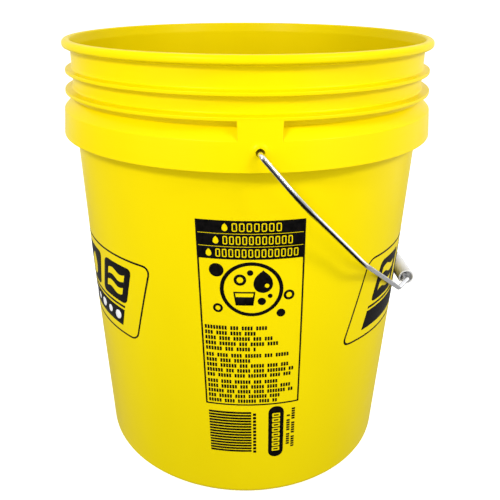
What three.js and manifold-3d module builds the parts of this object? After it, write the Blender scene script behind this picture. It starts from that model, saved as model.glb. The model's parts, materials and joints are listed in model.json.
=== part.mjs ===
// Five-gallon wash bucket: a moulded bucket with a swinging wire bail and a snap-on tube grip.
// Millimetres, +Z up. The origin is on the bucket's axis at the ground; the ears are on -Y and +Y,
// and the bail hangs down on the +X side.
import * as THREE from "three";
import { mergeVertices } from "three/addons/utils/BufferGeometryUtils.js";
import Module from "manifold-3d";

// Bucket shell
const HEIGHT = 368.3;
const FACETS = 72; // flats round the bucket
const BASE_R = 133.1; // outside, just above the foot's rounded corner
const MID_R = 139.9; // outside at MID_Z: the wall bows out slightly
const MID_Z = 170;
const WALL_TOP_R = 143.2; // outside, where the skirt hides the wall
const WALL_TOP_Z = 286;
const NECK_R = 143.0; // outside, between the rings
const WALL = 2.1;
const FOOT_CORNER = 5.9;
const FOOT_RISE = 3; // the base plate stands this far above the foot ring
const FLOOR_Z = 5.6; // inside floor
const BEAD_R = 149.2;
const BEAD_BOTTOM = 362.4;
const RING_BOTTOMS = [328.0, 343.3];
const RING_RADII = [149.7, 148.4];
const RING_EDGE = 2.5; // height of a ring's outer face
const SKIRT_BOTTOM = 295.1;
const SKIRT_BOTTOM_R = 153.4;
const SKIRT_TOP = 315.6;
const SKIRT_TOP_R = 151.3;
const SKIRT_WALL = 2.2;
const LEDGE_RISE = 8.3; // the sloping ledge from the skirt's top up to the neck
const RIB = 2;
const RIB_PAIRS = 6;

// Ears: flush pads that fill the groove above the skirt, each over a bored stretch of skirt
const EAR_HALF = 15.1;
const PIVOT_Z = 308; // axis of the bail
const HOLE_R = 2.9;
const HOLE_Z = PIVOT_Z + 0.6; // the wire sits low in its hole
const BOSS_R = 5.5;
const BOSS_PROUD = 0.6;

// Bail: u runs out along the pivot axis, v away from it down the hanging leg, n out of the leg's plane
const WIRE_R = 2;
const WIRE_SIDES = 12;
const HANG = 47.85; // degrees below horizontal
const HOOK_U = 146.5;
const HOOK_END = 5.5;
const LEG = [
  { u: 157.2, v: 0, bend: 4 },
  { u: 166.9, v: 38.2, bend: 45 },
  { u: 134.9, v: 119, bend: 45 },
  { u: 55.1, v: 201.1, bend: 4.5 },
];
const GRIP_X = 147.0; // the wire's straight run through the grip
const GRIP_Z = 160.2;
const RUN_HALF = 40.2; // to the jog at each end of that run

// Grip: a slit tube with inner collars that hold it on the wire
const GRIP_R = 7.1;
const GRIP_HALF = 37;
const GRIP_BORE = 5.6;
const GRIP_EDGE = 0.6;
const COLLAR_BORE = 2.4;
const COLLAR_HALF = 1.2;
const COLLARS = [-30, -10, 10, 30];
const SLIT = 3.5;
const SLIT_TURN = 240; // degrees from +X towards +Z: the slit faces down and towards the wall

const wasm = await Module();
wasm.setup();

const rad = THREE.MathUtils.degToRad;

function paint(color, roughness, metalness) {
  return new THREE.MeshStandardMaterial({ color, roughness, metalness });
}

function solidOf(geometry) {
  const bare = geometry.clone();
  bare.deleteAttribute("normal");
  bare.deleteAttribute("uv");
  const g = mergeVertices(bare, 1e-4);
  return new wasm.Manifold(
    new wasm.Mesh({
      numProp: 3,
      vertProperties: new Float32Array(g.attributes.position.array),
      triVerts: new Uint32Array(g.index.array),
    }),
  );
}

function meshOf(name, solid, material) {
  const m = solid.getMesh();
  const g = new THREE.BufferGeometry();
  g.setAttribute("position", new THREE.BufferAttribute(m.vertProperties, 3));
  g.setIndex(new THREE.BufferAttribute(m.triVerts, 1));
  g.computeVertexNormals();
  const mesh = new THREE.Mesh(g, material);
  mesh.name = name;
  return mesh;
}

// A closed [radius, height] outline, listed anticlockwise, turned about +Z.
function turned(outline, facets) {
  const points = [...outline, outline[0]].map(([r, z]) => new THREE.Vector2(r, z));
  return solidOf(new THREE.LatheGeometry(points, facets).rotateX(Math.PI / 2));
}

function box(x, y, z, at) {
  return solidOf(new THREE.BoxGeometry(x, y, z).translate(...at));
}

// A cylinder along Y between two heights.
function barAlongY(radius, y0, y1, z, sides) {
  const g = new THREE.CylinderGeometry(radius, radius, y1 - y0, sides);
  return solidOf(g.translate(0, (y0 + y1) / 2, z));
}

// Outline points of a fillet centred at (r, z), from one angle to another in degrees.
function arc(r, z, radius, from, to, steps) {
  return Array.from({ length: steps + 1 }, (_, i) => {
    const a = rad(from + ((to - from) * i) / steps);
    return [r + radius * Math.cos(a), z + radius * Math.sin(a)];
  });
}

// One thin ring round the neck, with rounded edges and a small fillet above its root.
function ring(bottom, radius) {
  const top = bottom + RING_EDGE;
  return [
    [NECK_R, bottom - 0.5],
    [radius - 0.5, bottom],
    [radius, bottom + 0.5],
    [radius, top - 0.5],
    [radius - 0.5, top],
    [NECK_R + 1.2, top + 0.7],
    [NECK_R, top + 1.9],
  ];
}

function shellOutline() {
  const ledgeTop = SKIRT_TOP + LEDGE_RISE;
  const skirtIn = SKIRT_TOP_R - SKIRT_WALL;
  const underLedge = SKIRT_WALL * 1.4;
  return [
    [0, FOOT_RISE],
    [117, FOOT_RISE],
    [119.6, 0],
    ...arc(BASE_R - FOOT_CORNER, FOOT_CORNER, FOOT_CORNER, -90, 0, 4),
    [MID_R, MID_Z],
    [WALL_TOP_R, WALL_TOP_Z],
    // up inside the hollow skirt, over and down again
    [WALL_TOP_R, ledgeTop - underLedge - 1.6],
    [WALL_TOP_R + 1.2, ledgeTop - underLedge - 1.2],
    [skirtIn - 0.8, SKIRT_TOP - 0.6],
    [skirtIn, SKIRT_TOP - 1.9],
    [SKIRT_BOTTOM_R - SKIRT_WALL, SKIRT_BOTTOM + 0.3],
    [SKIRT_BOTTOM_R - SKIRT_WALL + 0.4, SKIRT_BOTTOM],
    [SKIRT_BOTTOM_R - 0.4, SKIRT_BOTTOM],
    [SKIRT_BOTTOM_R, SKIRT_BOTTOM + 0.4],
    [SKIRT_TOP_R, SKIRT_TOP - 0.6],
    [SKIRT_TOP_R - 0.6, SKIRT_TOP + 0.4],
    [NECK_R + 0.8, ledgeTop - 0.6],
    [NECK_R, ledgeTop + 0.4],
    ...ring(RING_BOTTOMS[0], RING_RADII[0]),
    ...ring(RING_BOTTOMS[1], RING_RADII[1]),
    // rim bead
    [NECK_R, BEAD_BOTTOM - 0.9],
    [BEAD_R - 1.4, BEAD_BOTTOM],
    [BEAD_R - 0.4, BEAD_BOTTOM + 1],
    [BEAD_R, BEAD_BOTTOM + 2.8],
    [BEAD_R - 0.4, HEIGHT - 1.6],
    [BEAD_R - 1.4, HEIGHT - 0.5],
    [BEAD_R - 2.7, HEIGHT],
    [BEAD_R - 4.3, HEIGHT],
    [BEAD_R - 5.5, HEIGHT - 0.6],
    [BEAD_R - 6.5, HEIGHT - 2.6],
    [NECK_R - 1.5, BEAD_BOTTOM - 2],
    // down the inside
    [WALL_TOP_R - 2.2, WALL_TOP_Z],
    [MID_R - WALL, MID_Z],
    ...arc(BASE_R - 7, FLOOR_Z + 5, 5, 0, -90, 4),
    [0, FLOOR_Z],
  ];
}

// The groove between the skirt's top edge and the lower ring, filled flush.
function padRing() {
  return turned(
    [
      [NECK_R - 1, SKIRT_TOP - 1],
      [SKIRT_TOP_R - 0.1, SKIRT_TOP - 1],
      [SKIRT_TOP_R - 0.1, SKIRT_TOP - 0.2],
      [RING_RADII[0] - 0.1, RING_BOTTOMS[0] + 1],
      [NECK_R - 1, RING_BOTTOMS[0] + 1],
    ],
    FACETS,
  );
}

// The hollow under the ledge, reaching half way into the wall and the skirt around it.
function hollowRing() {
  return turned(
    [
      [NECK_R - 1, SKIRT_BOTTOM + 2],
      [SKIRT_BOTTOM_R - 1.3, SKIRT_BOTTOM + 2],
      [SKIRT_TOP_R - 1.1, SKIRT_TOP - 1.5],
      [NECK_R - 1, SKIRT_TOP + LEDGE_RISE - 2.2],
    ],
    FACETS,
  );
}

function ribs() {
  const z = (SKIRT_BOTTOM + SKIRT_TOP) / 2;
  const across = (turn) => box(400, RIB, 60, [0, 0, z]).rotate([0, 0, turn]);
  const spokes = Array.from({ length: RIB_PAIRS }, (_, i) => across((180 / RIB_PAIRS) * (i + 0.5)));
  const flanks = [-1, 1].map((s) => box(RIB, 400, 60, [s * (EAR_HALF - RIB / 2), 0, z]));
  return wasm.Manifold.union([...spokes, ...flanks]).intersect(hollowRing());
}

function bucketShell() {
  let shell = turned(shellOutline(), FACETS).add(ribs());
  shell = shell.add(padRing().intersect(box(2 * EAR_HALF, 400, 60, [0, 0, SKIRT_TOP])));
  const face = SKIRT_TOP_R + 0.7;
  for (const side of [-1, 1]) {
    const [b0, b1] = [side * (face - 1.5), side * (face + BOSS_PROUD)].sort((a, b) => a - b);
    const [h0, h1] = [side * (HOOK_U + 1), side * (face + 5)].sort((a, b) => a - b);
    shell = shell.add(barAlongY(BOSS_R, b0, b1, HOLE_Z, 24));
    shell = shell.subtract(barAlongY(HOLE_R, h0, h1, HOLE_Z, 24));
  }
  return shell;
}

// A path through listed stations, one extrusion step between each two.
class StationPath extends THREE.Curve {
  constructor(stations) {
    super();
    this.stations = stations;
  }

  getPoint(t) {
    const last = this.stations.length - 1;
    const i = Math.min(Math.floor(t * last + 1e-6), last - 1);
    return this.stations[i].clone().lerp(this.stations[i + 1], t * last - i);
  }

  getPointAt(t) {
    return this.getPoint(t);
  }

  getTangentAt(t) {
    const last = this.stations.length - 1;
    const i = Math.round(t * last);
    const before = this.stations[Math.max(i - 1, 0)];
    const after = this.stations[Math.min(i + 1, last)];
    const here = this.stations[i];
    const inward = here.clone().sub(before).normalize();
    return inward.add(after.clone().sub(here).normalize()).normalize();
  }
}

// Stations of a bend of the given radius, where the path turns at b on its way from a to c.
function bendAt(a, b, c, radius) {
  const into = b.clone().sub(a).normalize();
  const out = c.clone().sub(b).normalize();
  const turn = into.angleTo(out);
  const reach = radius * Math.tan(turn / 2);
  const start = b.clone().addScaledVector(into, -reach);
  const aside = out.clone().addScaledVector(into, -out.dot(into)).normalize();
  const steps = Math.max(2, Math.ceil(turn / rad(13)));
  return Array.from({ length: steps + 1 }, (_, i) => {
    const t = (turn * i) / steps;
    const p = start.clone().addScaledVector(into, radius * Math.sin(t));
    return p.addScaledVector(aside, radius * (1 - Math.cos(t)));
  });
}

// Corners of the bail from the -Y hook to the +Y hook, each with its bend radius.
function bailCorners() {
  const c = Math.cos(rad(HANG));
  const s = Math.sin(rad(HANG));
  const onLeg = ({ u, v, bend }) => ({ at: new THREE.Vector3(v * c, -u, PIVOT_Z - v * s), bend });
  const half = [
    onLeg({ u: HOOK_U, v: -HOOK_END, bend: 0 }),
    onLeg({ u: HOOK_U, v: 0, bend: 2.6 }),
    ...LEG.map(onLeg),
    { at: new THREE.Vector3(GRIP_X, -RUN_HALF, GRIP_Z), bend: 5 },
  ];
  const mirrored = half.map(({ at, bend }) => ({ at: at.clone().setY(-at.y), bend })).reverse();
  return [...half, ...mirrored];
}

function bailWire() {
  const corners = bailCorners();
  const stations = corners.flatMap(({ at, bend }, i) =>
    bend ? bendAt(corners[i - 1].at, at, corners[i + 1].at, bend) : [at],
  );
  const round = new THREE.Shape().absarc(0, 0, WIRE_R, 0, 2 * Math.PI);
  return solidOf(
    new THREE.ExtrudeGeometry(round, {
      steps: stations.length - 1,
      curveSegments: WIRE_SIDES,
      extrudePath: new StationPath(stations),
    }),
  );
}

function grip() {
  const e = GRIP_EDGE;
  const collars = COLLARS.flatMap((at) => [
    [GRIP_BORE, at - COLLAR_HALF],
    [COLLAR_BORE, at - COLLAR_HALF],
    [COLLAR_BORE, at + COLLAR_HALF],
    [GRIP_BORE, at + COLLAR_HALF],
  ]);
  const tube = turned(
    [
      [GRIP_BORE + 0.2, -GRIP_HALF],
      [GRIP_R - e, -GRIP_HALF],
      [GRIP_R - e * 0.3, -GRIP_HALF + e * 0.3],
      [GRIP_R, -GRIP_HALF + e],
      [GRIP_R, GRIP_HALF - e],
      [GRIP_R - e * 0.3, GRIP_HALF - e * 0.3],
      [GRIP_R - e, GRIP_HALF],
      [GRIP_BORE + 0.2, GRIP_HALF],
      ...collars.reverse(),
    ],
    32,
  );
  const slit = box(GRIP_R * 2, SLIT, GRIP_HALF * 3, [GRIP_R, 0, 0]).rotate([0, 0, SLIT_TURN]);
  return tube.subtract(slit).rotate([90, 0, 0]).translate([GRIP_X, 0, GRIP_Z]);
}

const part = new THREE.Group();
part.name = "wash_bucket";
part.add(
  meshOf("bucket_shell", bucketShell(), paint(0xf2dd00, 0.35, 0)),
  meshOf("bail_wire", bailWire(), paint(0xb8bcc2, 0.25, 1)),
  meshOf("grip", grip(), paint(0xe4e4e4, 0.45, 0)),
);

export default part;
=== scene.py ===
"""Wash bucket: the moulded shell with its print, the wire bail and the tube grip.

Lengths are millimetres in the part's own frame, and MM turns them into Blender's metres.
The materials and the studio are in metres.
"""
import json
import math

import bmesh
import bpy
import numpy as np
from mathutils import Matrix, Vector

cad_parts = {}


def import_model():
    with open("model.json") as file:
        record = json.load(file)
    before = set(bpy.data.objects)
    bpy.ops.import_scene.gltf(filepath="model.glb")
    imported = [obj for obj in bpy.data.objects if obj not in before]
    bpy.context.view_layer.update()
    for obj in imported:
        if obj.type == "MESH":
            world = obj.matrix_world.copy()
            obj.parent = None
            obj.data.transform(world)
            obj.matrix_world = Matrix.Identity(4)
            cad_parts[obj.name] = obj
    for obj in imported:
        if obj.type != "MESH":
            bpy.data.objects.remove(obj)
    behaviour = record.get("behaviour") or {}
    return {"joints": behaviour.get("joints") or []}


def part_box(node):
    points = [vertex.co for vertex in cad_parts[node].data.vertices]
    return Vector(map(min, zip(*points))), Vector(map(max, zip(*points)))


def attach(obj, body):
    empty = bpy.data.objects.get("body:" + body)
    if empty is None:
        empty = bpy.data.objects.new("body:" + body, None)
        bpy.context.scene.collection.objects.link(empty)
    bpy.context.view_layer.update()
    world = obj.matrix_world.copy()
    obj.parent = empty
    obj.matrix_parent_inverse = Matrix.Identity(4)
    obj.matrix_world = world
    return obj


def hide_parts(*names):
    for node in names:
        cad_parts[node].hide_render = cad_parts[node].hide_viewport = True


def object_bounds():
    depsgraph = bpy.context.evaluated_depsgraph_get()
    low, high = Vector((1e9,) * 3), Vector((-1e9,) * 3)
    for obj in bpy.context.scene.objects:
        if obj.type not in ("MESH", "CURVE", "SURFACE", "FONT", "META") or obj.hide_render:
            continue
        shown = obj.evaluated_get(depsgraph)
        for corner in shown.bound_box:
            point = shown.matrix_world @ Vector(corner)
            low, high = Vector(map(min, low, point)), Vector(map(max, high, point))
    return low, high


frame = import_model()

CAD_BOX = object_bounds()
MM = 0.001


def in_mm(vector):
    return np.array(vector, float) / MM


joints = {joint["name"]: joint for joint in frame["joints"]}
_, SHELL_HIGH = (in_mm(corner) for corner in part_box("bucket_shell"))
GRIP_LOW, GRIP_HIGH = (in_mm(corner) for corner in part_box("grip"))
PIVOT_Z = in_mm(joints["bail_swing"]["pos_m"])[2]
GRIP_X, _, GRIP_Z = in_mm(joints["grip_spin"]["pos_m"])

# Bucket shell: radii and heights from the frame, and the sizes between them
TOP = SHELL_HIGH[2]
SKIRT_BOTTOM_R = SHELL_HIGH[0]
SKIRT_BOTTOM = PIVOT_Z - 12.9
SKIRT_TOP = PIVOT_Z + 7.6
SKIRT_TOP_R = SKIRT_BOTTOM_R - 2.1
SKIRT_WALL = 2.2
LEDGE_TOP = SKIRT_TOP + 8.3
BASE_R = 133.1
BASE_RISE = 3.0  # from the foot up to the base plate
GATE_R, GATE_PROUD = 2.6, 0.8  # moulding mark in the middle of the base
BASE_RING_R, BASE_RING_PROUD = 62, 0.4  # low ring round that mark
FOOT_INNER_R = 119.6
FOOT_CORNER = 5.9
MID_R, MID_Z = 139.9, 170
WALL_TOP_R, WALL_TOP_Z = 143.2, 286
NECK_R = 143.0
WALL = 2.1
FLOOR_Z = 5.6
BEAD_R = 149.2
RINGS = [(TOP - 40.3, 149.7), (TOP - 25.0, 148.4)]  # bottom and radius
RING_EDGE = 2.5
SOFT = 6000  # fillet radius where the wall changes its taper
ROUND_STEP = 16  # degrees between two rows of a fillet
ROW_STEP = 12  # longest step between two rows

# Ears
EAR_HALF = 15.1
HOLE_R = 2.9
HOLE_Z = PIVOT_Z + 0.6
BOSS_FACE = 152.6
BOSS_R = 5.3
BOSS_SOFT = 1.3
BOSS_MARGIN = 6  # rows past the square grid where a boss may still reach
CELL = 0.6  # grid spacing round a hole
WINDOW = 7  # cells from a hole's centre to where the grid is square again
RIM_CELLS = 4  # cells from a hole's centre to its rim
RIM_ROUND = 0.3
PAD_EDGE = [  # distance outwards from a pad's edge, and how much of the flush pad is left there
    (-0.9, 1),
    (-0.5, 0.985),
    (-0.25, 0.95),
    (-0.08, 0.86),
    (0, 0.5),
    (0.08, 0.14),
    (0.25, 0.04),
    (0.6, 0),
]

# Ribs under the skirt
RIB = 2
RIB_COUNT = 12
RIB_BOTTOM = SKIRT_BOTTOM + 2
GUSSET_OFFSET = 14.1  # sideways from an ear's middle

# Bail
WIRE_R = 2
WIRE_SIDES = 32
WIRE_STEP = 4  # longest step along the wire
WIRE_END_ROUND = 0.5
HANG = math.radians(47.85)
HOOK_U, HOOK_END, HOOK_BEND = 146.5, 5.5, 2.6
LEG = [(157.2, 0, 4), (166.9, 38.2, 45), (134.9, 119, 45), (55.1, 201.1, 4.5)]  # u, v, bend
RUN_HALF, RUN_BEND = 40.2, 5

# Grip
GRIP_R = (GRIP_HIGH[2] - GRIP_LOW[2]) / 2
GRIP_HALF = (GRIP_HIGH[1] - GRIP_LOW[1]) / 2
GRIP_BORE = 5.6
GRIP_EDGE = 0.6
GRIP_SIDES = 44
EDGE_STEPS = 5
BORE_FLARE = 0.2
COLLAR_BORE = 2.4
COLLAR_HALF = 1.2
COLLAR_STEP = 0.2
COLLAR_EDGE = 0.3
COLLARS = [-30, -10, 10, 30]
SLIT = 3.5
SLIT_TURN = math.radians(240)

# Print
INK_DEEP, INK_PROUD = 0.08, 0.07  # below and above the wall's surface
INK_STEP_ROUND, INK_STEP_UP = 2.5, 10  # cuts across the ink, round the wall and up it

# The front panel. x runs to the right from the panel's centre line, y is the height.
PANEL_TOP, PANEL_BOTTOM = 258.2, 97.5
PANEL_HALF = 39.3
PANEL_AZIMUTH = (-1.87, -0.05)  # of the centre line at the top and the bottom, in degrees
PANEL_R = 142.2
PANEL_LINE = 1.35
HEADER = 29.8
HEADER_ROWS = ((-13.3, 7, 5.2), (-20, 11, 4.65), (-25.5, 13, 4.7))  # start, blocks, pitch
HEADER_STROKE = 0.85
SEPARATOR_HALF = 0.22
TEXT_TOP, TEXT_LEFT = 171, -36.4
TEXT_BLOCK, TEXT_ROW = 25, 4.75  # down from one block and one row to the next
TEXT_COUNTS = ((22, 18, 24, 26, 18), (31, 17, 30, 32, 31), (26, 31, 32, 27, 26))
WORDS = (8, 3, 4, 4, 6, 3, 5, 4, 7, 4)  # blocks in each group

# The two side panels: x runs to the right from the centre, y is the height, and everything leans.
SIDE_AZIMUTHS = {"right": 88.95, "left": -91.05}
SIDE_R = 141.5
SIDE_LEAN = 0.29
SIDE_MIDDLE = 175.3
SIDE_HALF_WIDE, SIDE_HALF_TALL = 132, 36.8
SIDE_LINE = 1.7
SIDE_CORNER = 8
TILE, TILE_GAP = 38.0, 8.0


# ---------------------------------------------------------------- outlines and meshes

def unit(vector):
    return vector / np.linalg.norm(vector)


def rounded(corners, step=ROUND_STEP):
    """Points of an outline of (x, y, fillet radius) corners, each fillet an arc."""
    points = []
    for i, (x, y, fillet) in enumerate(corners):
        here = np.array((x, y), float)
        if not fillet:
            points.append(here)
            continue
        back = unit(np.array(corners[i - 1][:2], float) - here)
        on = unit(np.array(corners[(i + 1) % len(corners)][:2], float) - here)
        half = math.acos(np.clip(back @ on, -1, 1)) / 2
        centre = here + unit(back + on) * fillet / math.sin(half)
        start = here + back * fillet / math.tan(half) - centre
        sweep = math.pi - 2 * half
        side = 1 if back[0] * on[1] - back[1] * on[0] < 0 else -1
        count = max(3, math.ceil(math.degrees(sweep) / step))
        for k in range(count + 1):
            turn = side * sweep * k / count
            c, s = math.cos(turn), math.sin(turn)
            points.append(centre + np.array((c * start[0] - s * start[1], s * start[0] + c * start[1])))
    return np.array(points)


def subdivided(points, longest):
    """The same open outline, with points added until no step is longer than the longest."""
    out = [points[0]]
    for a, b in zip(points[:-1], points[1:]):
        count = max(1, math.ceil(np.linalg.norm(b - a) / longest))
        out += [a + (b - a) * k / count for k in range(1, count + 1)]
    return np.array(out)


def mesh_piece(name, points, faces, body, material):
    """A closed, smooth-shaded piece from points in millimetres."""
    mesh = bpy.data.meshes.new(name)
    mesh.from_pydata((np.array(points) * MM).tolist(), [], [list(map(int, f)) for f in faces])
    bm = bmesh.new()
    bm.from_mesh(mesh)
    bmesh.ops.recalc_face_normals(bm, faces=bm.faces)
    for face in bm.faces:
        face.smooth = True
    bm.to_mesh(mesh)
    bm.free()
    mesh.materials.append(material)
    piece = bpy.data.objects.new(name, mesh)
    bpy.context.scene.collection.objects.link(piece)
    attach(piece, body)
    return piece


def weighted(piece):
    """Large faces keep their own normal beside a fillet."""
    modifier = piece.modifiers.new("weighted", "WEIGHTED_NORMAL")
    modifier.weight = 60
    modifier.keep_sharp = True


def loop_faces(a, b):
    """Quads between two closed loops of vertex numbers."""
    n = len(a)
    return [(a[i], a[(i + 1) % n], b[(i + 1) % n], b[i]) for i in range(n)]


# ---------------------------------------------------------------- bucket shell

def skirt_outer_r(z):
    return np.interp(z, (SKIRT_BOTTOM, SKIRT_TOP), (SKIRT_BOTTOM_R, SKIRT_TOP_R))


def bore_heights():
    return HOLE_Z + CELL * np.arange(-WINDOW, WINDOW + 1)


def ring_corners(bottom, radius):
    top = bottom + RING_EDGE
    return [
        (NECK_R, bottom - 0.5, 0.8),
        (radius, bottom, 0.7),
        (radius, top, 0.7),
        (NECK_R + 0.1, top + 1.0, 1.6),
    ]


def shell_outline():
    """[radius, height] rows from the middle of the underside, out and up, over the rim and down inside."""
    foot = BASE_R - 0.25
    outer = [(skirt_outer_r(z), z, 0) for z in bore_heights()]
    inner = [(r - SKIRT_WALL, z, 0) for r, z, _ in reversed(outer)]
    corners = [
        (0.6, BASE_RISE - GATE_PROUD, 0),
        (GATE_R, BASE_RISE - GATE_PROUD, 0.5),
        (GATE_R + 0.4, BASE_RISE, 0.4),
        (BASE_RING_R - 2, BASE_RISE, 0),
        (BASE_RING_R, BASE_RISE - BASE_RING_PROUD, 1.5),
        (BASE_RING_R + 2, BASE_RISE, 1.5),
        (FOOT_INNER_R - 2.6, BASE_RISE, 1.5),
        (FOOT_INNER_R, 0, 0.9),
        (foot, 0, FOOT_CORNER),
        (MID_R, MID_Z, SOFT),
        (WALL_TOP_R, WALL_TOP_Z, SOFT / 10),
        (WALL_TOP_R, LEDGE_TOP - 5.0, 1.6),
        (SKIRT_TOP_R - SKIRT_WALL - 0.1, SKIRT_TOP - 0.6, 1.5),
        *inner,
        (SKIRT_BOTTOM_R - SKIRT_WALL, SKIRT_BOTTOM, 0.5),
        (SKIRT_BOTTOM_R, SKIRT_BOTTOM, 0.7),
        *outer,
        (SKIRT_TOP_R, SKIRT_TOP, 1.3),
        (NECK_R, LEDGE_TOP, 1.2),
        *ring_corners(*RINGS[0]),
        *ring_corners(*RINGS[1]),
        (NECK_R, TOP - 6.8, 0.9),
        (BEAD_R, TOP - 5.8, 2.0),
        (BEAD_R, TOP, 3.1),
        (BEAD_R - 6.0, TOP, 1.7),
        (NECK_R - 1.5, TOP - 8.0, 8),
        (WALL_TOP_R - 2.2, WALL_TOP_Z, SOFT / 2),
        (MID_R - WALL, MID_Z, SOFT),
        (BASE_R - 2.2, FLOOR_Z, 5),
        (3, FLOOR_Z, 0),
    ]
    return subdivided(rounded(corners), ROW_STEP)


OUTLINE = shell_outline()


def column_angles():
    """Azimuths from -Y towards +X, fine over each ear and in steps of 2 degrees elsewhere."""
    # distances from an ear's middle, round the skirt
    near = [CELL * k for k in range(WINDOW + 1)] + [5.4, 7.2, 9.4, 12]
    near += [EAR_HALF + offset for offset, _ in PAD_EDGE] + [17.4, 20.6]
    half = [math.degrees(x / SKIRT_TOP_R) for x in near]
    ear = sorted([-a for a in half[1:]] + half)
    plain = np.arange(10, 171, 2)
    angles = np.concatenate([ear, plain, np.array(ear) + 180, plain + 180])
    return np.radians(angles)


def pad_share(angles):
    """How much of the flush pad each column takes, from 0 to 1."""
    from_ear = np.abs((angles + math.pi / 2) % math.pi - math.pi / 2) * SKIRT_TOP_R
    offsets, shares = zip(*PAD_EDGE)
    return np.interp(from_ear - EAR_HALF, offsets, shares)


def nearest_row(radius, height):
    """The number of the outline's row that is nearest to a radius and height."""
    return int(np.argmin(np.hypot(OUTLINE[:, 0] - radius, OUTLINE[:, 1] - height)))


def skirt_row(height, inset=0):
    """The row on the skirt's outside at a height, or on a surface inset from it."""
    return nearest_row(skirt_outer_r(height) - inset, height)


def wall_grid(angles):
    """The shell's points by row and column. Each ear's pad is one flush slope up to the lower ring."""
    radius = np.repeat(OUTLINE[:, :1], len(angles), axis=1)
    height = np.repeat(OUTLINE[:, 1:], len(angles), axis=1)
    first = skirt_row(bore_heights()[-1])
    last = nearest_row(RINGS[0][1], RINGS[0][0] + 0.7)
    share = pad_share(angles)
    for row in range(first, last + 1):
        flush = OUTLINE[first] + (OUTLINE[last] - OUTLINE[first]) * (row - first) / (last - first)
        radius[row] += share * (flush[0] - radius[row])
        height[row] += share * (flush[1] - height[row])
    return np.stack([radius * np.sin(angles), -radius * np.cos(angles), height], axis=2)


def grid_faces(number, removed):
    """Quads between neighbouring rows and columns, without the cells inside the holes."""
    rows, columns = number.shape
    quads = []
    for r in range(rows - 1):
        for c in range(columns):
            on = (c + 1) % columns
            if not removed[r, c]:
                quads.append((number[r, c], number[r, on], number[r + 1, on], number[r + 1, c]))
    return quads


def without_spare(flat, quads):
    """The same mesh without the points that no face uses."""
    used = np.zeros(len(flat), bool)
    used[np.concatenate([np.array(q) for q in quads])] = True
    renumber = np.cumsum(used) - 1
    return flat[used], [[renumber[v] for v in quad] for quad in quads]


def bucket_shell():
    angles = column_angles()
    rows, columns = len(OUTLINE), len(angles)
    points = wall_grid(angles)
    number = np.arange(rows * columns).reshape(rows, columns)
    removed = np.zeros((rows, columns), bool)
    rims = []
    for ear in (0, math.pi):
        centre = int(np.argmin(np.abs(angles - ear)))
        for row, upward in ((skirt_row(HOLE_Z), 1), (skirt_row(HOLE_Z, SKIRT_WALL), -1)):
            rims.append(bore_grid(points, number, removed, row, centre, upward))
    raise_bosses(points)

    flat, quads = bore_walls(points.reshape(-1, 3), grid_faces(number, removed), rims)
    poles = len(flat)
    flat = np.vstack([flat, [(0, 0, OUTLINE[0, 1]), (0, 0, OUTLINE[-1, 1])]])
    for ring, pole in ((number[0], poles), (number[-1], poles + 1)):
        quads += [(ring[c], ring[(c + 1) % columns], pole) for c in range(columns)]
    flat, faces = without_spare(flat, quads)
    piece = mesh_piece("bucket_shell_moulding", flat, faces, "bucket", hdpe())
    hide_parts("bucket_shell")
    weighted(piece)


def bore_grid(points, number, removed, row, column, upward):
    """Draws the grid round one hole into rings and drops the cells inside it. Returns its rim."""
    side = -1 if points[row, column, 1] < 0 else 1
    columns = points.shape[1]
    rim = {}
    for i in range(-WINDOW, WINDOW + 1):
        for j in range(-WINDOW, WINDOW + 1):
            r, c = row + i, (column + j) % columns
            ring = max(abs(i), abs(j))
            if ring < RIM_CELLS:
                continue
            across = np.array((points[r, c, 0], points[r, c, 2] - HOLE_Z))
            t = (ring - RIM_CELLS) / (WINDOW - RIM_CELLS)
            circle = unit(across) * (HOLE_R + RIM_ROUND)
            x, z = circle + (across - circle) * t
            depth = np.hypot(*points[r, c, :2]) + (z + HOLE_Z - points[r, c, 2]) * taper()
            points[r, c] = (x, side * math.sqrt(depth**2 - x**2), z + HOLE_Z)
            if ring == RIM_CELLS:
                rim[math.atan2(i * upward, j * side)] = number[r, c]
    for i in range(-RIM_CELLS, RIM_CELLS):
        for j in range(-RIM_CELLS, RIM_CELLS):
            removed[row + i, (column + j) % columns] = True
    return [rim[angle] for angle in sorted(rim)]


def taper():
    """How fast the skirt's radius changes with height."""
    return (SKIRT_TOP_R - SKIRT_BOTTOM_R) / (SKIRT_TOP - SKIRT_BOTTOM)


def raise_bosses(points):
    """A low flat boss round each hole, on the skirt's outside."""
    hole_row = skirt_row(HOLE_Z)
    reach = skirt_row(bore_heights()[-1]) - hole_row + BOSS_MARGIN
    block = points[hole_row - reach : hole_row + reach]
    away = np.hypot(block[..., 0], block[..., 2] - HOLE_Z)
    t = np.clip((BOSS_R + BOSS_SOFT / 2 - away) / BOSS_SOFT, 0, 1)
    lift = (3 * t**2 - 2 * t**3) * (BOSS_FACE - np.abs(block[..., 1]))
    block[..., 1] += np.sign(block[..., 1]) * np.maximum(lift, 0)


def bore_walls(flat, quads, rims):
    """Joins each hole's outer and inner rims by a bore with rounded edges."""
    flat = list(flat)
    for outer, inner in zip(rims[0::2], rims[1::2]):
        loops = [outer]
        # 0.7 and 0.3 of the round meet near the middle of a quarter circle
        for rim, shrink, depth in (
            (outer, 0.7 * RIM_ROUND, -0.3 * RIM_ROUND),
            (outer, RIM_ROUND, -RIM_ROUND),
            (inner, RIM_ROUND, RIM_ROUND),
            (inner, 0.7 * RIM_ROUND, 0.3 * RIM_ROUND),
        ):
            loop = []
            for vertex in rim:
                x, y, z = flat[vertex]
                across = np.array((x, z - HOLE_Z))
                across = unit(across) * (np.linalg.norm(across) - shrink)
                loop.append(len(flat))
                flat.append(np.array((across[0], y + math.copysign(depth, y), across[1] + HOLE_Z)))
            loops.append(loop)
        loops.append(inner)
        for a, b in zip(loops[:-1], loops[1:]):
            quads += loop_faces(a, b)
    return np.array(flat), quads


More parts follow.
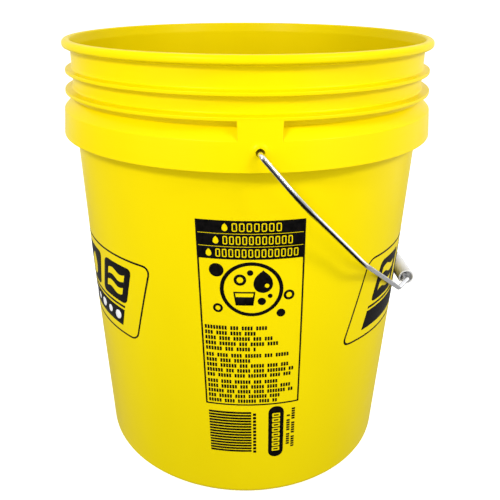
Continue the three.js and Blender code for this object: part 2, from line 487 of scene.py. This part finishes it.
def plate(outline, thickness, turn, offset):
    """Corners and faces of a flat rib: a (radius, height) outline, turned about +Z, moved sideways."""
    c, s = math.cos(turn), math.sin(turn)
    points = []
    for half in (-thickness / 2, thickness / 2):
        for r, z in outline:
            across = half + offset
            points.append((r * c - across * s, r * s + across * c, z))
    n = len(outline)
    faces = [tuple(range(n - 1, -1, -1)), tuple(range(n, 2 * n))]
    faces += [(i, (i + 1) % n, n + (i + 1) % n, n + i) for i in range(n)]
    return points, faces


def ribs():
    """Stiffening ribs in the hollow under the skirt: twelve round it and two beside each ear."""
    outline = [
        (WALL_TOP_R - 1, RIB_BOTTOM),
        (SKIRT_BOTTOM_R - 1.3, RIB_BOTTOM),
        (SKIRT_TOP_R - 1.1, SKIRT_TOP - 1.5),
        (WALL_TOP_R - 1, LEDGE_TOP - 2.2),
    ]
    places = [(math.radians(15 + 360 / RIB_COUNT * k), 0) for k in range(RIB_COUNT)]
    places += [(math.radians(ear), s * GUSSET_OFFSET) for ear in (90, -90) for s in (-1, 1)]
    points, faces = [], []
    for turn, offset in places:
        shift = len(points)
        more, sides = plate(outline, RIB, turn, offset)
        points += more
        faces += [[v + shift for v in face] for face in sides]
    piece = mesh_piece("bucket_skirt_ribs", points, faces, "bucket", hdpe())
    bevelled(piece, 0.25)


def bevelled(piece, width):
    modifier = piece.modifiers.new("bevel", "BEVEL")
    modifier.width = width * MM
    modifier.segments = 3
    modifier.limit_method = "ANGLE"
    modifier.angle_limit = math.radians(40)
    weighted(piece)


# ---------------------------------------------------------------- bail

def on_leg(u, v):
    """A point of the hanging bail: u from the middle towards -Y, v away from the pivot's axis."""
    return np.array((v * math.cos(HANG), -u, PIVOT_Z - v * math.sin(HANG)))


def bend_points(a, b, c, radius):
    """Points of a bend where a route turns at b on its way from a to c."""
    into, out = unit(b - a), unit(c - b)
    turn = math.acos(np.clip(into @ out, -1, 1))
    start = b - into * radius * math.tan(turn / 2)
    aside = unit(out - into * (out @ into))
    steps = max(4, math.ceil(math.degrees(turn) / 6))
    angles = [turn * k / steps for k in range(steps + 1)]
    return [start + into * radius * math.sin(t) + aside * radius * (1 - math.cos(t)) for t in angles]


def bail_route():
    """The wire's middle line, from one hooked end to the other. The second half mirrors the first."""
    half = [(on_leg(HOOK_U, -HOOK_END), 0), (on_leg(HOOK_U, 0), HOOK_BEND)]
    half += [(on_leg(u, v), bend) for u, v, bend in LEG]
    half.append((np.array((GRIP_X, -RUN_HALF, GRIP_Z)), RUN_BEND))
    mirror = np.array((1, -1, 1))
    corners = half + [(at * mirror, bend) for at, bend in reversed(half)]
    route = []
    for i, (at, bend) in enumerate(corners):
        route += bend_points(corners[i - 1][0], at, corners[i + 1][0], bend) if bend else [at]
    return np.array(route)


def bar_stations(route, radius, end_round):
    """(place, radius) along a round bar, drawn in at its two ends."""
    start, finish = unit(route[1] - route[0]), unit(route[-1] - route[-2])
    ends = [(0.3, 0.3), (1, 0)]  # shares of the round: along the bar, and in from its side
    stations = [(route[0], radius - end_round)]
    for along, inset in ends:
        stations.append((route[0] + start * end_round * along, radius - end_round * inset))
    stations += [(place, radius) for place in route[1:-1]]
    for along, inset in reversed(ends):
        stations.append((route[-1] - finish * end_round * along, radius - end_round * inset))
    stations.append((route[-1], radius - end_round))
    return stations


def sweep(stations, sides):
    """A round bar through (place, radius) stations."""
    places = np.array([place for place, _ in stations])
    directions = [unit(step) for step in np.gradient(places, axis=0)]
    side = unit(np.cross(directions[0], (1, 0, 0)))
    points, faces = [], []
    for (place, radius), along in zip(stations, directions):
        side = unit(side - along * (side @ along))
        up = np.cross(along, side)
        for k in range(sides):
            turn = 2 * math.pi * k / sides
            points.append(place + radius * (math.cos(turn) * side + math.sin(turn) * up))
    for i in range(len(stations) - 1):
        ring = list(range(i * sides, (i + 1) * sides))
        faces += loop_faces(ring, [v + sides for v in ring])
    faces.append(tuple(range(sides)))
    faces.append(tuple(range(len(points) - sides, len(points))))
    return points, faces


def bail():
    route = subdivided(bail_route(), WIRE_STEP)
    points, faces = sweep(bar_stations(route, WIRE_R, WIRE_END_ROUND), WIRE_SIDES)
    piece = mesh_piece("bail_wire_bent", points, faces, "bail", zinc())
    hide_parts("bail_wire")
    weighted(piece)


# ---------------------------------------------------------------- grip

def grip_stations():
    """(place along the grip, outside radius, bore radius) from one end to the other."""
    ends = []
    for k in range(EDGE_STEPS + 1):
        a = math.radians(90 * k / EDGE_STEPS)
        inset = GRIP_EDGE * (1 - math.sin(a))
        bore = GRIP_BORE + BORE_FLARE * (1 - k / EDGE_STEPS)
        ends.append((GRIP_EDGE * (1 - math.cos(a)), GRIP_R - inset, bore))
    stations = [(-GRIP_HALF + along, outer, bore) for along, outer, bore in ends]
    for at in COLLARS:
        stations += [
            (at - COLLAR_HALF - COLLAR_STEP, GRIP_R, GRIP_BORE),
            (at - COLLAR_HALF, GRIP_R, COLLAR_BORE + COLLAR_EDGE),
            (at - COLLAR_HALF + COLLAR_EDGE, GRIP_R, COLLAR_BORE),
            (at + COLLAR_HALF - COLLAR_EDGE, GRIP_R, COLLAR_BORE),
            (at + COLLAR_HALF, GRIP_R, COLLAR_BORE + COLLAR_EDGE),
            (at + COLLAR_HALF + COLLAR_STEP, GRIP_R, GRIP_BORE),
        ]
    stations += [(GRIP_HALF - along, outer, bore) for along, outer, bore in reversed(ends)]
    return stations


def grip():
    """A tube along Y with a slit along it, collars inside and rounded ends."""
    points, faces = [], []
    for at, outer, bore in grip_stations():
        for radius, order in ((outer, 1), (bore, -1)):
            gap = math.asin(SLIT / 2 / radius)
            turns = [gap + (2 * math.pi - 2 * gap) * k / GRIP_SIDES for k in range(GRIP_SIDES + 1)]
            for turn in turns[::order]:
                a = SLIT_TURN + turn
                points.append((GRIP_X + radius * math.cos(a), at, GRIP_Z + radius * math.sin(a)))
    loop = 2 * (GRIP_SIDES + 1)
    count = len(points) // loop
    for i in range(count - 1):
        ring = list(range(i * loop, (i + 1) * loop))
        faces += loop_faces(ring, [v + loop for v in ring])
    for base in (0, (count - 1) * loop):
        for k in range(GRIP_SIDES):
            faces.append((base + k, base + k + 1, base + loop - 2 - k, base + loop - 1 - k))
    piece = mesh_piece("grip_tube", points, faces, "grip", white_plastic())
    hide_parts("grip")
    bevelled(piece, 0.3)


# ---------------------------------------------------------------- print

def filled(outlines):
    """A flat mesh of closed 2D outlines, with holes where one lies inside another."""
    curve = bpy.data.curves.new("outline", "CURVE")
    curve.dimensions = "2D"
    curve.fill_mode = "BOTH"
    for outline in outlines:
        spline = curve.splines.new("POLY")
        spline.points.add(len(outline) - 1)
        for point, (x, y) in zip(spline.points, outline):
            point.co = (x, y, 0, 1)
        spline.use_cyclic_u = True
    holder = bpy.data.objects.new("outline", curve)
    bm = bmesh.new()
    bm.from_mesh(bpy.data.meshes.new_from_object(holder))
    bpy.data.objects.remove(holder)
    bmesh.ops.remove_doubles(bm, verts=bm.verts, dist=1e-4)
    return bm


def cut_across(bm, axis, step):
    """Cuts a flat mesh at even steps, so that it can follow the wall."""
    values = [v.co[axis] for v in bm.verts]
    normal = [0, 0, 0]
    normal[axis] = 1
    for k in range(math.ceil(min(values) / step), math.floor(max(values) / step) + 1):
        place = [0, 0, 0]
        place[axis] = k * step
        geometry = bm.verts[:] + bm.edges[:] + bm.faces[:]
        bmesh.ops.bisect_plane(bm, geom=geometry, plane_co=place, plane_no=normal, dist=1e-5)


def ink(name, outlines, place, material):
    """A thin closed layer of ink. place(x, y) gives the azimuth and height of an outline's point."""
    bm = filled(outlines)
    cut_across(bm, 0, INK_STEP_ROUND)
    cut_across(bm, 1, INK_STEP_UP)
    bm.verts.index_update()
    azimuths, heights = zip(*[place(v.co.x, v.co.y) for v in bm.verts])
    azimuths, heights = np.array(azimuths), np.array(heights)
    layers = []
    for lift in (-INK_DEEP, INK_PROUD):
        r = wall_radius(heights) + lift
        layers.append(np.stack([r * np.sin(azimuths), -r * np.cos(azimuths), heights], axis=1))
    count = len(azimuths)
    faces = []
    for face in bm.faces:
        loop = [v.index for v in face.verts]
        faces += [loop, [v + count for v in reversed(loop)]]
    for edge in bm.edges:
        if len(edge.link_faces) == 1:
            a, b = (v.index for v in edge.verts)
            faces.append([a, b, b + count, a + count])
    bm.free()
    mesh_piece(name, np.vstack(layers), faces, "bucket", material)


def wall_radius(height):
    """The wall's outside radius, read off the shell's own outline."""
    low = nearest_row(BASE_R, 8)
    high = nearest_row(WALL_TOP_R, WALL_TOP_Z)
    return np.interp(height, OUTLINE[low:high, 1], OUTLINE[low:high, 0])


def rectangle(x0, y0, x1, y1, corner=0.0):
    corners = [(x0, y0, corner), (x1, y0, corner), (x1, y1, corner), (x0, y1, corner)]
    return [tuple(p) for p in rounded(corners, 22)]


def disc(x, y, radius, count=40, wide=1.0):
    turns = [2 * math.pi * k / count for k in range(count)]
    return [(x + wide * radius * math.cos(t), y + radius * math.sin(t)) for t in turns]


def drop(x, y, radius, tall=1.9):
    """A water drop: a round bottom drawn up to a point."""
    count = 40
    points = []
    for k in range(count):
        t = 2 * math.pi * k / count
        up = max(0.0, math.sin(t))
        across = radius * math.cos(t) * (1 - 0.75 * up**2) ** 0.5 * (1 - up**6)
        rise = radius * (math.sin(t) if up == 0 else up * tall)
        points.append((x + across, y + rise))
    return points


def blocks(x, y, height, pitch, count, words, stroke=0.0):
    """A row of plain blocks in groups, for a line of small print. A stroke leaves them hollow."""
    outlines = []
    group, left = 0, words[0]
    for place in range(count):
        if left == 0:
            group += 1
            left = words[group % len(words)]
            continue
        x0 = x + place * pitch
        x1 = x0 + 0.72 * pitch
        y0, y1 = y - height / 2, y + height / 2
        outlines.append(rectangle(x0, y0, x1, y1, 0.2 * pitch))
        if stroke:
            outlines.append(rectangle(x0 + stroke, y0 + stroke, x1 - stroke, y1 - stroke))
        left -= 1
    return outlines


def on_front(x, y):
    share = (PANEL_TOP - y) / (PANEL_TOP - PANEL_BOTTOM)
    centre = PANEL_AZIMUTH[0] + (PANEL_AZIMUTH[1] - PANEL_AZIMUTH[0]) * share
    return math.radians(centre) + x / PANEL_R, y


def front_frame():
    """The panel's outline and its solid header, with three rows and two thin lines left open."""
    left, right = -PANEL_HALF, PANEL_HALF
    outlines = [rectangle(left, PANEL_BOTTOM, right, PANEL_TOP, 0.5)]
    low, high = PANEL_BOTTOM + PANEL_LINE, PANEL_TOP - HEADER
    outlines.append(rectangle(left + PANEL_LINE, low, right - PANEL_LINE, high, 0.8))
    band = HEADER / len(HEADER_ROWS)
    for row, (start, count, pitch) in enumerate(HEADER_ROWS):
        middle = PANEL_TOP - band * (row + 0.5)
        outlines += blocks(start, middle, 6.4, pitch, count, (count,), HEADER_STROKE)
        outlines.append(drop(start - 5, middle - 0.9, 2.1))
        if row:
            y = PANEL_TOP - band * row
            outlines.append(rectangle(left + 1.4, y - SEPARATOR_HALF, right - 1.4, y + SEPARATOR_HALF))
    ink("print_front_frame", outlines, on_front, black_ink())


def front_symbol():
    """A ring round a water drop and a small pail, with bubbles about it. Nothing in it overlaps."""
    x, y, radius, line, wide = 0.1, 204.1, 22.4, 2.8, 1.05
    outlines = [disc(x, y, radius, 96, wide), disc(x, y, radius - line, 96, wide)]
    outlines += [drop(x + 8.5, y + 4.5, 7.2, 1.6), disc(x + 11.3, y + 3.2, 1.7)]
    outlines += pail(x - 5.5, y - 7.5, 8.2, 6.6, 11.5)
    outlines += [disc(x - 8.5, y + 8, 4.6), disc(x - 8.5, y + 8, 2.4)]
    outlines += [disc(x - 1, y + 13.8, 2.3), disc(x + 7.4, y - 9.8, 3.1), disc(x + 13.6, y - 5.4, 1.8)]
    outlines += [disc(x - 25.6, y + 15.4, 5.4), disc(x + 28, y - 5.5, 4.2), disc(x + 28, y - 5.5, 2.2)]
    outlines += [disc(x + 22, y - 20.4, 3.4), disc(x - 25.5, y - 16, 3.8), disc(x - 25.5, y - 16, 1.9)]
    ink("print_front_symbol", outlines, on_front, black_ink())


def pail(x, y, top_half, bottom_half, tall):
    """A plain pail in outline, most of it full."""
    y0, y1 = y - tall / 2, y + tall / 2
    line = 1.3
    outer = [(x - bottom_half, y0), (x + bottom_half, y0), (x + top_half, y1), (x - top_half, y1)]
    level = y + tall * 0.12
    inside = bottom_half + (top_half - bottom_half) * (level - y0) / tall - line
    empty = [
        (x - inside, level),
        (x + inside, level),
        (x + top_half - line, y1 - line),
        (x - top_half + line, y1 - line),
    ]
    return [outer, empty]


def front_rows():
    """Three blocks of five rows of small print."""
    outlines = []
    for block, rows in enumerate(TEXT_COUNTS):
        for row, count in enumerate(rows):
            words = WORDS[row + block:] + WORDS[:row + block]
            y = TEXT_TOP - TEXT_BLOCK * block - TEXT_ROW * row
            outlines += blocks(TEXT_LEFT, y, 3.5, 2.2, count, words)
    ink("print_front_rows", outlines, on_front, black_ink())


def front_stripes():
    """Fifteen even stripes under the panel, and a column of small blocks beside them."""
    x0, x1, top, pitch, thick = -37.3, -1.4, 90.8, 2.9, 1.95
    outlines = [rectangle(x0, top - pitch * k - thick, x1, top - pitch * k) for k in range(15)]
    for k in range(12):
        y = top - 1.5 - 3.6 * k
        outlines.append(rectangle(0, y - 2.6, 2.7, y, 0.5))
    ink("print_front_stripes", outlines, on_front, black_ink())


def front_pill():
    """A solid upright pill with eight blocks left open in it, and two columns of small blocks."""
    outlines = [rectangle(13.2, 41.2, 26.6, 95.3, 6.4)]
    for k in range(8):
        y = 47.6 + 5.2 * k
        outlines += [rectangle(16.5, y, 23.4, y + 4.2, 0.8), rectangle(17.9, y + 1.4, 22.0, y + 2.8)]
    for x, y0, y1 in ((29.2, 53, 87.2), (33.6, 49.5, 94.2)):
        for k in range(int((y1 - y0) / 2.5)):
            if k % 6 != 5:
                outlines.append(rectangle(x, y0 + 2.5 * k, x + 3, y0 + 2.5 * k + 1.8, 0.3))
    ink("print_front_pill", outlines, on_front, black_ink())


def side_place(azimuth):
    """A function from a side panel's x and y to an azimuth and a height."""
    def place(x, y):
        return math.radians(azimuth) + (x + SIDE_LEAN * (y - SIDE_MIDDLE)) / SIDE_R, y
    return place


def wave(x0, x1, y, rise, half, length):
    """A wavy band between two ends."""
    xs = np.linspace(x0, x1, 25)
    ys = y + rise * np.sin((xs - x0) / length * 2 * math.pi)
    return [(a, b - half) for a, b in zip(xs, ys)] + [(a, b + half) for a, b in zip(xs[::-1], ys[::-1])]


def side_panel(side):
    """A leaning outline round five tiles, a thin line and a bar with white bubbles on it."""
    line, corner = SIDE_LINE, SIDE_CORNER
    left, right = -SIDE_HALF_WIDE, SIDE_HALF_WIDE
    low, high = SIDE_MIDDLE - SIDE_HALF_TALL, SIDE_MIDDLE + SIDE_HALF_TALL
    outlines = [
        rectangle(left, low, right, high, corner),
        rectangle(left + line, low + line, right - line, high - line, corner - line),
    ]
    for k in range(5):
        x = -109 + (TILE + TILE_GAP) * k
        outlines.append(rectangle(x, 169.5, x + TILE, 204, 5))
        if k % 2:
            outlines.append(drop(x + TILE / 2, 182.5, 8.5, 1.8))
        else:
            outlines += [wave(x + 7, x + TILE - 7, y, 1.6, 3.3, TILE - 14) for y in (180.5, 193)]
    outlines.append(rectangle(-111, 164.8, 111, 167))
    outlines.append(rectangle(-111, 146.5, 111, 162.8))
    place = side_place(SIDE_AZIMUTHS[side])
    ink("print_side_" + side, outlines, place, black_ink())
    bubbles = [disc(6 + 13.8 * k, 154.7, 3.6 + 0.9 * (k % 2), 32) for k in range(8)]
    ink("print_side_bubbles_" + side, bubbles, place, white_ink())


# ---------------------------------------------------------------- materials

MADE = {}


def material(name, build):
    """One node material of that name, made once."""
    if name not in MADE:
        made = bpy.data.materials.new(name)
        made.use_nodes = True
        build(made.node_tree, made.node_tree.nodes["Principled BSDF"])
        MADE[name] = made
    return MADE[name]


def node(tree, kind, **values):
    made = tree.nodes.new(kind)
    for key, value in values.items():
        if key in made.inputs:
            made.inputs[key].default_value = value
        else:
            setattr(made, key, value)
    return made


def noise(tree, scale, detail=3.0, stretch=(1, 1, 1)):
    """Noise in the piece's own coordinates, in metres."""
    place = node(tree, "ShaderNodeTexCoord")
    mapping = node(tree, "ShaderNodeMapping", Scale=stretch)
    tree.links.new(place.outputs["Object"], mapping.inputs["Vector"])
    made = node(tree, "ShaderNodeTexNoise", Scale=scale, Detail=detail, Roughness=0.55)
    tree.links.new(mapping.outputs["Vector"], made.inputs["Vector"])
    return made.outputs["Fac"]


def ramp(tree, source, low, high):
    """A colour ramp between two colours."""
    made = node(tree, "ShaderNodeValToRGB")
    made.color_ramp.elements[0].position = 0.35
    made.color_ramp.elements[1].position = 0.65
    made.color_ramp.elements[0].color = low
    made.color_ramp.elements[1].color = high
    tree.links.new(source, made.inputs["Fac"])
    return made.outputs["Color"]


def spread(tree, source, low, high, start=0.3, end=0.7):
    """A value between start and end, spread evenly from low to high."""
    made = node(tree, "ShaderNodeMapRange")
    for key, value in (("From Min", start), ("From Max", end), ("To Min", low), ("To Max", high)):
        made.inputs[key].default_value = value
    tree.links.new(source, made.inputs["Value"])
    return made.outputs["Result"]


def bump(tree, shader, heights, strength, depth):
    """A fine relief, its depth in metres."""
    made = node(tree, "ShaderNodeBump", Strength=strength, Distance=depth)
    tree.links.new(heights, made.inputs["Height"])
    tree.links.new(made.outputs["Normal"], shader.inputs["Normal"])


def hdpe():
    def build(tree, shader):
        tone = noise(tree, 9, 4, (1, 1, 0.5))
        colour = ramp(tree, tone, (0.765, 0.60, 0.0, 1), (0.795, 0.63, 0.0, 1))
        tree.links.new(colour, shader.inputs["Base Color"])
        scuffs = noise(tree, 60, 6, (1, 1, 3))
        tree.links.new(spread(tree, scuffs, 0.30, 0.36), shader.inputs["Roughness"])
        shader.inputs["IOR"].default_value = 1.5
        shader.inputs["Specular IOR Level"].default_value = 0.05
    return material("hdpe_yellow", build)


def zinc():
    def build(tree, shader):
        drawn = noise(tree, 240, 3)
        colour = ramp(tree, drawn, (0.74, 0.745, 0.77, 1), (0.88, 0.885, 0.90, 1))
        tree.links.new(colour, shader.inputs["Base Color"])
        tree.links.new(spread(tree, noise(tree, 400, 4), 0.17, 0.25), shader.inputs["Roughness"])
        shader.inputs["Metallic"].default_value = 1.0
        bump(tree, shader, noise(tree, 900, 3), 0.08, 0.00008)
    return material("zinc_wire", build)


def white_plastic():
    def build(tree, shader):
        tone = noise(tree, 80, 3)
        colour = ramp(tree, tone, (0.78, 0.78, 0.80, 1), (0.85, 0.85, 0.87, 1))
        tree.links.new(colour, shader.inputs["Base Color"])
        tree.links.new(spread(tree, noise(tree, 300, 3), 0.38, 0.52), shader.inputs["Roughness"])
        bump(tree, shader, noise(tree, 1200, 2), 0.06, 0.00006)
    return material("grip_white", build)


def black_ink():
    def build(tree, shader):
        tone = noise(tree, 350, 4)
        colour = ramp(tree, tone, (0.002, 0.002, 0.002, 1), (0.006, 0.005, 0.005, 1))
        tree.links.new(colour, shader.inputs["Base Color"])
        tree.links.new(spread(tree, noise(tree, 700, 3), 0.35, 0.5), shader.inputs["Roughness"])
        shader.inputs["Specular IOR Level"].default_value = 0.06
    return material("ink_black", build)


def white_ink():
    def build(tree, shader):
        tone = noise(tree, 350, 4)
        colour = ramp(tree, tone, (0.82, 0.82, 0.82, 1), (0.90, 0.90, 0.90, 1))
        tree.links.new(colour, shader.inputs["Base Color"])
        tree.links.new(spread(tree, noise(tree, 700, 3), 0.35, 0.5), shader.inputs["Roughness"])
    return material("ink_white", build)


# ---------------------------------------------------------------- studio

FLOOR_R = 30
FLOOR_GAP = 0.0002  # below the bucket's foot


def floor():
    """A wide pale disc under the bucket, left out of reflections and bounced light."""
    bm = bmesh.new()
    bmesh.ops.create_circle(bm, cap_ends=True, radius=FLOOR_R, segments=64)
    mesh = bpy.data.meshes.new("floor")
    bm.to_mesh(mesh)
    bm.free()
    piece = bpy.data.objects.new("floor", mesh)
    piece.location.z = CAD_BOX[0].z - FLOOR_GAP
    bpy.context.scene.collection.objects.link(piece)
    made = bpy.data.materials.new("floor_paper")
    made.use_nodes = True
    shader = made.node_tree.nodes["Principled BSDF"]
    tree = made.node_tree
    colour = ramp(tree, noise(tree, 3), (0.95, 0.95, 0.95, 1), (0.97, 0.97, 0.97, 1))
    tree.links.new(colour, shader.inputs["Base Color"])
    tree.links.new(colour, shader.inputs["Emission Color"])
    shader.inputs["Emission Strength"].default_value = 0.6
    shader.inputs["Roughness"].default_value = 0.9
    shader.inputs["Specular IOR Level"].default_value = 0.1
    mesh.materials.append(made)
    piece.visible_glossy = False
    piece.visible_diffuse = False


def softbox(name, azimuth, elevation, distance, size, power, glossy=True, diffuse=True):
    """A rectangular lamp that faces the bucket's upper half: angles in degrees, power in watts."""
    light = bpy.data.lights.new(name, "AREA")
    light.shape = "RECTANGLE"
    light.size, light.size_y = size
    light.energy = power
    lamp = bpy.data.objects.new(name, light)
    a, e = math.radians(azimuth), math.radians(elevation)
    away = Vector((math.sin(a) * math.cos(e), -math.cos(a) * math.cos(e), math.sin(e)))
    aim = Vector((0, 0, TOP * MM * 0.7))
    lamp.location = aim + away * distance
    lamp.rotation_mode = "QUATERNION"
    lamp.rotation_quaternion = away.to_track_quat("Z", "Y")
    lamp.visible_glossy = glossy
    lamp.visible_diffuse = diffuse
    bpy.context.scene.collection.objects.link(lamp)


def sky(tree, stops, up):
    """A grey background that changes along the up direction, from -1 to 1."""
    place = node(tree, "ShaderNodeTexCoord")
    along = node(tree, "ShaderNodeVectorMath", operation="DOT_PRODUCT")
    along.inputs[1].default_value = up
    tree.links.new(place.outputs["Generated"], along.inputs[0])
    height = spread(tree, along.outputs["Value"], 0, 1, -1, 1)
    shades = node(tree, "ShaderNodeValToRGB")
    steps = shades.color_ramp.elements
    while len(steps) < len(stops):
        steps.new(0.5)
    for step, (at, grey) in zip(steps, stops):
        step.position = (at + 1) / 2
        step.color = (grey, grey, grey, 1)
    tree.links.new(height, shades.inputs["Fac"])
    made = node(tree, "ShaderNodeBackground", Strength=1.0)
    tree.links.new(shades.outputs["Color"], made.inputs["Color"])
    return made.outputs["Background"]


def world():
    """White to the camera, soft light all round, and a grey room, dark to bright, in mirrors."""
    made = bpy.data.worlds.new("studio")
    made.use_nodes = True
    made.cycles.sampling_method = "NONE"
    tree = made.node_tree
    white = tree.nodes["Background"]
    white.inputs["Color"].default_value = (1, 1, 1, 1)
    light = sky(tree, [(-0.2, 0.50), (0.35, 0.68)], (0, 0, 1))
    mirrored = sky(tree, [(-0.6, 0.005), (-0.48, 0.42), (0.22, 0.42), (0.3, 1.1)], (0, 0.6, 0.8))
    path = node(tree, "ShaderNodeLightPath")
    seen = node(tree, "ShaderNodeMixShader")
    tree.links.new(path.outputs["Is Camera Ray"], seen.inputs["Fac"])
    tree.links.new(light, seen.inputs[1])
    tree.links.new(white.outputs["Background"], seen.inputs[2])
    mix = node(tree, "ShaderNodeMixShader")
    tree.links.new(path.outputs["Is Glossy Ray"], mix.inputs["Fac"])
    tree.links.new(seen.outputs["Shader"], mix.inputs[1])
    tree.links.new(mirrored, mix.inputs[2])
    tree.links.new(mix.outputs["Shader"], tree.nodes["World Output"].inputs["Surface"])
    bpy.context.scene.world = made


def camera():
    """The photograph's viewpoint."""
    data = bpy.data.cameras.new("camera")
    data.sensor_width = 36
    data.lens = 44.167
    data.shift_x = 0.0453
    made = bpy.data.objects.new("camera", data)
    made.location = (-0.0345, -0.5350, 0.4110)
    made.rotation_euler = (math.radians(90 - 23.923), 0, math.radians(-2.006))
    bpy.context.scene.collection.objects.link(made)
    bpy.context.scene.camera = made


bpy.context.scene.view_settings.view_transform = "Standard"
camera()
world()
floor()
softbox("key_left", -33, 34, 0.8, (0.18, 0.12), 2.5)
softbox("key_right", 46, 34, 0.8, (0.2, 0.12), 2.2)
softbox("fill_left", -46, 4, 0.9, (0.6, 0.3), 2.0, glossy=False)
softbox("fill_right", 48, 4, 0.9, (0.6, 0.3), 2.0, glossy=False)
softbox("fill_back", 180, 24, 1.1, (0.9, 0.4), 3.0, glossy=False)
softbox("card_right", 96, -8, 0.8, (0.6, 0.3), 0.6, diffuse=False)

bucket_shell()
ribs()
bail()
grip()
front_frame()
front_symbol()
front_rows()
front_stripes()
front_pill()
for panel_side in SIDE_AZIMUTHS:
    side_panel(panel_side)
